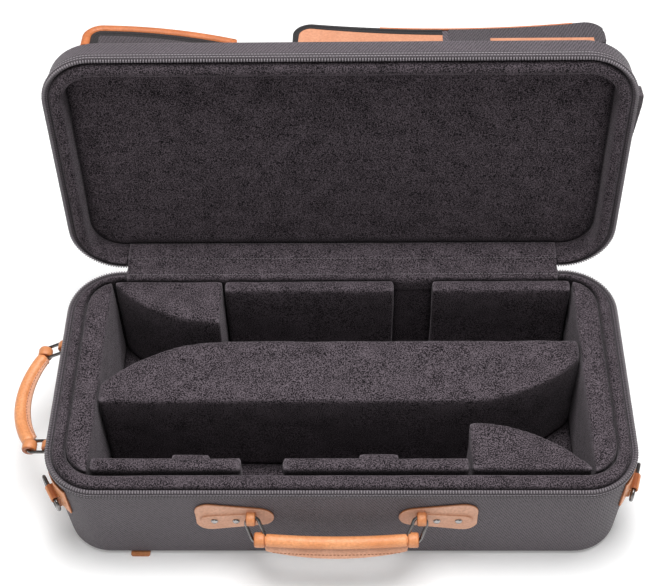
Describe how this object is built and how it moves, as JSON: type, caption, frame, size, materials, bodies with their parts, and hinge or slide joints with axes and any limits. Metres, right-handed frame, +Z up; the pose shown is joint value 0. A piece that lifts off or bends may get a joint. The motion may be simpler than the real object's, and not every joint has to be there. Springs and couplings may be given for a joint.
{
  "type": "double trumpet case",
  "caption": "Soft sided zip case with an upright lid, a plush lined well with a divider for two trumpets, leather handles and outer lid pockets.",
  "frame": {"origin": "centre of the flat underside of the base, on the surface it stands on", "axes": "+X along the case to the right as its user faces the front handle, +Y to the back where the lid is hinged, +Z up"},
  "size_m": [0.6317, 0.3996, 0.3939],
  "materials": {
    "nylon": "matt ribbed weave",
    "plush": "short pile plush",
    "zip_tape": "woven tape with black teeth",
    "webbing": "woven webbing",
    "leather": "smooth tan",
    "nickel": "polished nickel"
  },
  "bodies": {
    "base": {"base_shell": "nylon", "base_wall_lining": "plush", "base_floor_lining": "plush", "base_zip_chain": "zip_tape", "end_block_left": "plush", "end_block_right": "plush", "divider": "plush", "bell_wedge_back": "plush", "bell_wedge_front": "plush", "pad_back_middle": "plush", "pad_back_right": "plush", "pad_front_middle": "plush", "pad_front_left": "plush", "rest_pad_left": "plush", "rest_pad_middle": "plush", "hinge_lining": "plush", "hinge_cover": "nylon", "front_patch_left": "leather", "front_patch_right": "leather", "side_patch_back": "leather", "side_patch_front": "leather", "front_rivets": "nickel", "side_rivets": "nickel", "corner_tab_left": "leather", "corner_tab_right": "leather", "edge_tab": "leather"},
    "lid": {"lid_shell": "nylon", "lid_wall_lining": "plush", "lid_panel": "plush", "lid_zip_chain": "zip_tape", "pocket_left": "nylon", "pocket_left_leather": "leather", "pocket_left_zip": "zip_tape", "pocket_right": "nylon", "pocket_right_leather": "leather", "pocket_right_zip": "zip_tape", "lid_keeper": "webbing"},
    "front_links": {"front_link_left": "nickel", "front_link_right": "nickel"},
    "front_handle": {"front_grip": "leather", "front_grip_loops": "leather"},
    "side_links": {"side_link_back": "nickel", "side_link_front": "nickel"},
    "side_handle": {"side_grip": "leather", "side_grip_loops": "leather"},
    "corner_ring_left": {"corner_ring_left": "nickel"},
    "corner_ring_right": {"corner_ring_right": "nickel"},
    "zip_slider_left": {"zip_left_slider": "nickel"},
    "zip_pull_left": {"zip_left_pull": "nickel"},
    "zip_slider_right": {"zip_right_slider": "nickel"},
    "zip_pull_right": {"zip_right_pull": "nickel"},
    "pocket_slider_left": {"pocket_left_zip_slider": "nickel"},
    "pocket_pull_left": {"pocket_left_zip_pull": "nickel"},
    "pocket_slider_right": {"pocket_right_zip_slider": "nickel"},
    "pocket_pull_right": {"pocket_right_zip_pull": "nickel"}
  },
  "joints": [
    {"name": "lid_hinge", "type": "hinge", "parent": "base", "child": "lid", "pos_m": [0, 0.1379, 0.1208], "axis": [1, 0, 0], "range_deg": [0, 95], "deforming": ["hinge_lining", "hinge_cover"]},
    {"name": "front_links_swing", "type": "hinge", "parent": "base", "child": "front_links", "pos_m": [-0.004, -0.14244, 0.08964], "axis": [-1, 0, 0], "range_deg": [-20, 110]},
    {"name": "front_handle_swing", "type": "hinge", "parent": "front_links", "child": "front_handle", "pos_m": [-0.004, -0.15506, 0.07162], "axis": [-1, 0, 0], "range_deg": [-30, 30]},
    {"name": "side_links_swing", "type": "hinge", "parent": "base", "child": "side_links", "pos_m": [-0.29162, 0, 0.09364], "axis": [0, 1, 0], "range_deg": [-60, 80]},
    {"name": "side_handle_swing", "type": "hinge", "parent": "side_links", "child": "side_handle", "pos_m": [-0.31254, 0, 0.08685], "axis": [0, 1, 0], "range_deg": [-30, 30]},
    {"name": "corner_ring_left_swing", "type": "hinge", "parent": "base", "child": "corner_ring_left", "pos_m": [-0.28207, -0.11233, 0.088], "axis": [-0.5, 0.866, 0], "range_deg": [0, 120]},
    {"name": "corner_ring_right_swing", "type": "hinge", "parent": "base", "child": "corner_ring_right", "pos_m": [0.28719, -0.10057, 0.088], "axis": [-0.2924, -0.9563, 0], "range_deg": [0, 120]},
    {"name": "zip_slide_left", "type": "slide", "parent": "base", "child": "zip_slider_left", "axis": [0, 0.0436, 0.999], "range_m": [0, 0.018]},
    {"name": "zip_pull_left_swing", "type": "hinge", "parent": "zip_slider_left", "child": "zip_pull_left", "pos_m": [-0.234, 0.14171, 0.07966], "axis": [1, 0, 0], "range_deg": [0, 120]},
    {"name": "pocket_slide_left", "type": "slide", "parent": "lid", "child": "pocket_slider_left", "axis": [0, 0.0872, 0.9962], "range_m": [0, 0.18]},
    {"name": "pocket_pull_left_swing", "type": "hinge", "parent": "pocket_slider_left", "child": "pocket_pull_left", "pos_m": [-0.2539, 0.19246, 0.17415], "axis": [0, 0.9962, -0.0872], "range_deg": [0, 120]},
    {"name": "zip_slide_right", "type": "slide", "parent": "base", "child": "zip_slider_right", "axis": [0, 0.0436, 0.999], "range_m": [0, 0.018]},
    {"name": "zip_pull_right_swing", "type": "hinge", "parent": "zip_slider_right", "child": "zip_pull_right", "pos_m": [0.234, 0.14171, 0.07966], "axis": [1, 0, 0], "range_deg": [0, 120]},
    {"name": "pocket_slide_right", "type": "slide", "parent": "lid", "child": "pocket_slider_right", "axis": [0, 0.0872, 0.9962], "range_m": [0, 0.18]},
    {"name": "pocket_pull_right_swing", "type": "hinge", "parent": "pocket_slider_right", "child": "pocket_pull_right", "pos_m": [-0.0519, 0.19246, 0.17415], "axis": [0, 0.9962, -0.0872], "range_deg": [0, 120]}
  ]
}
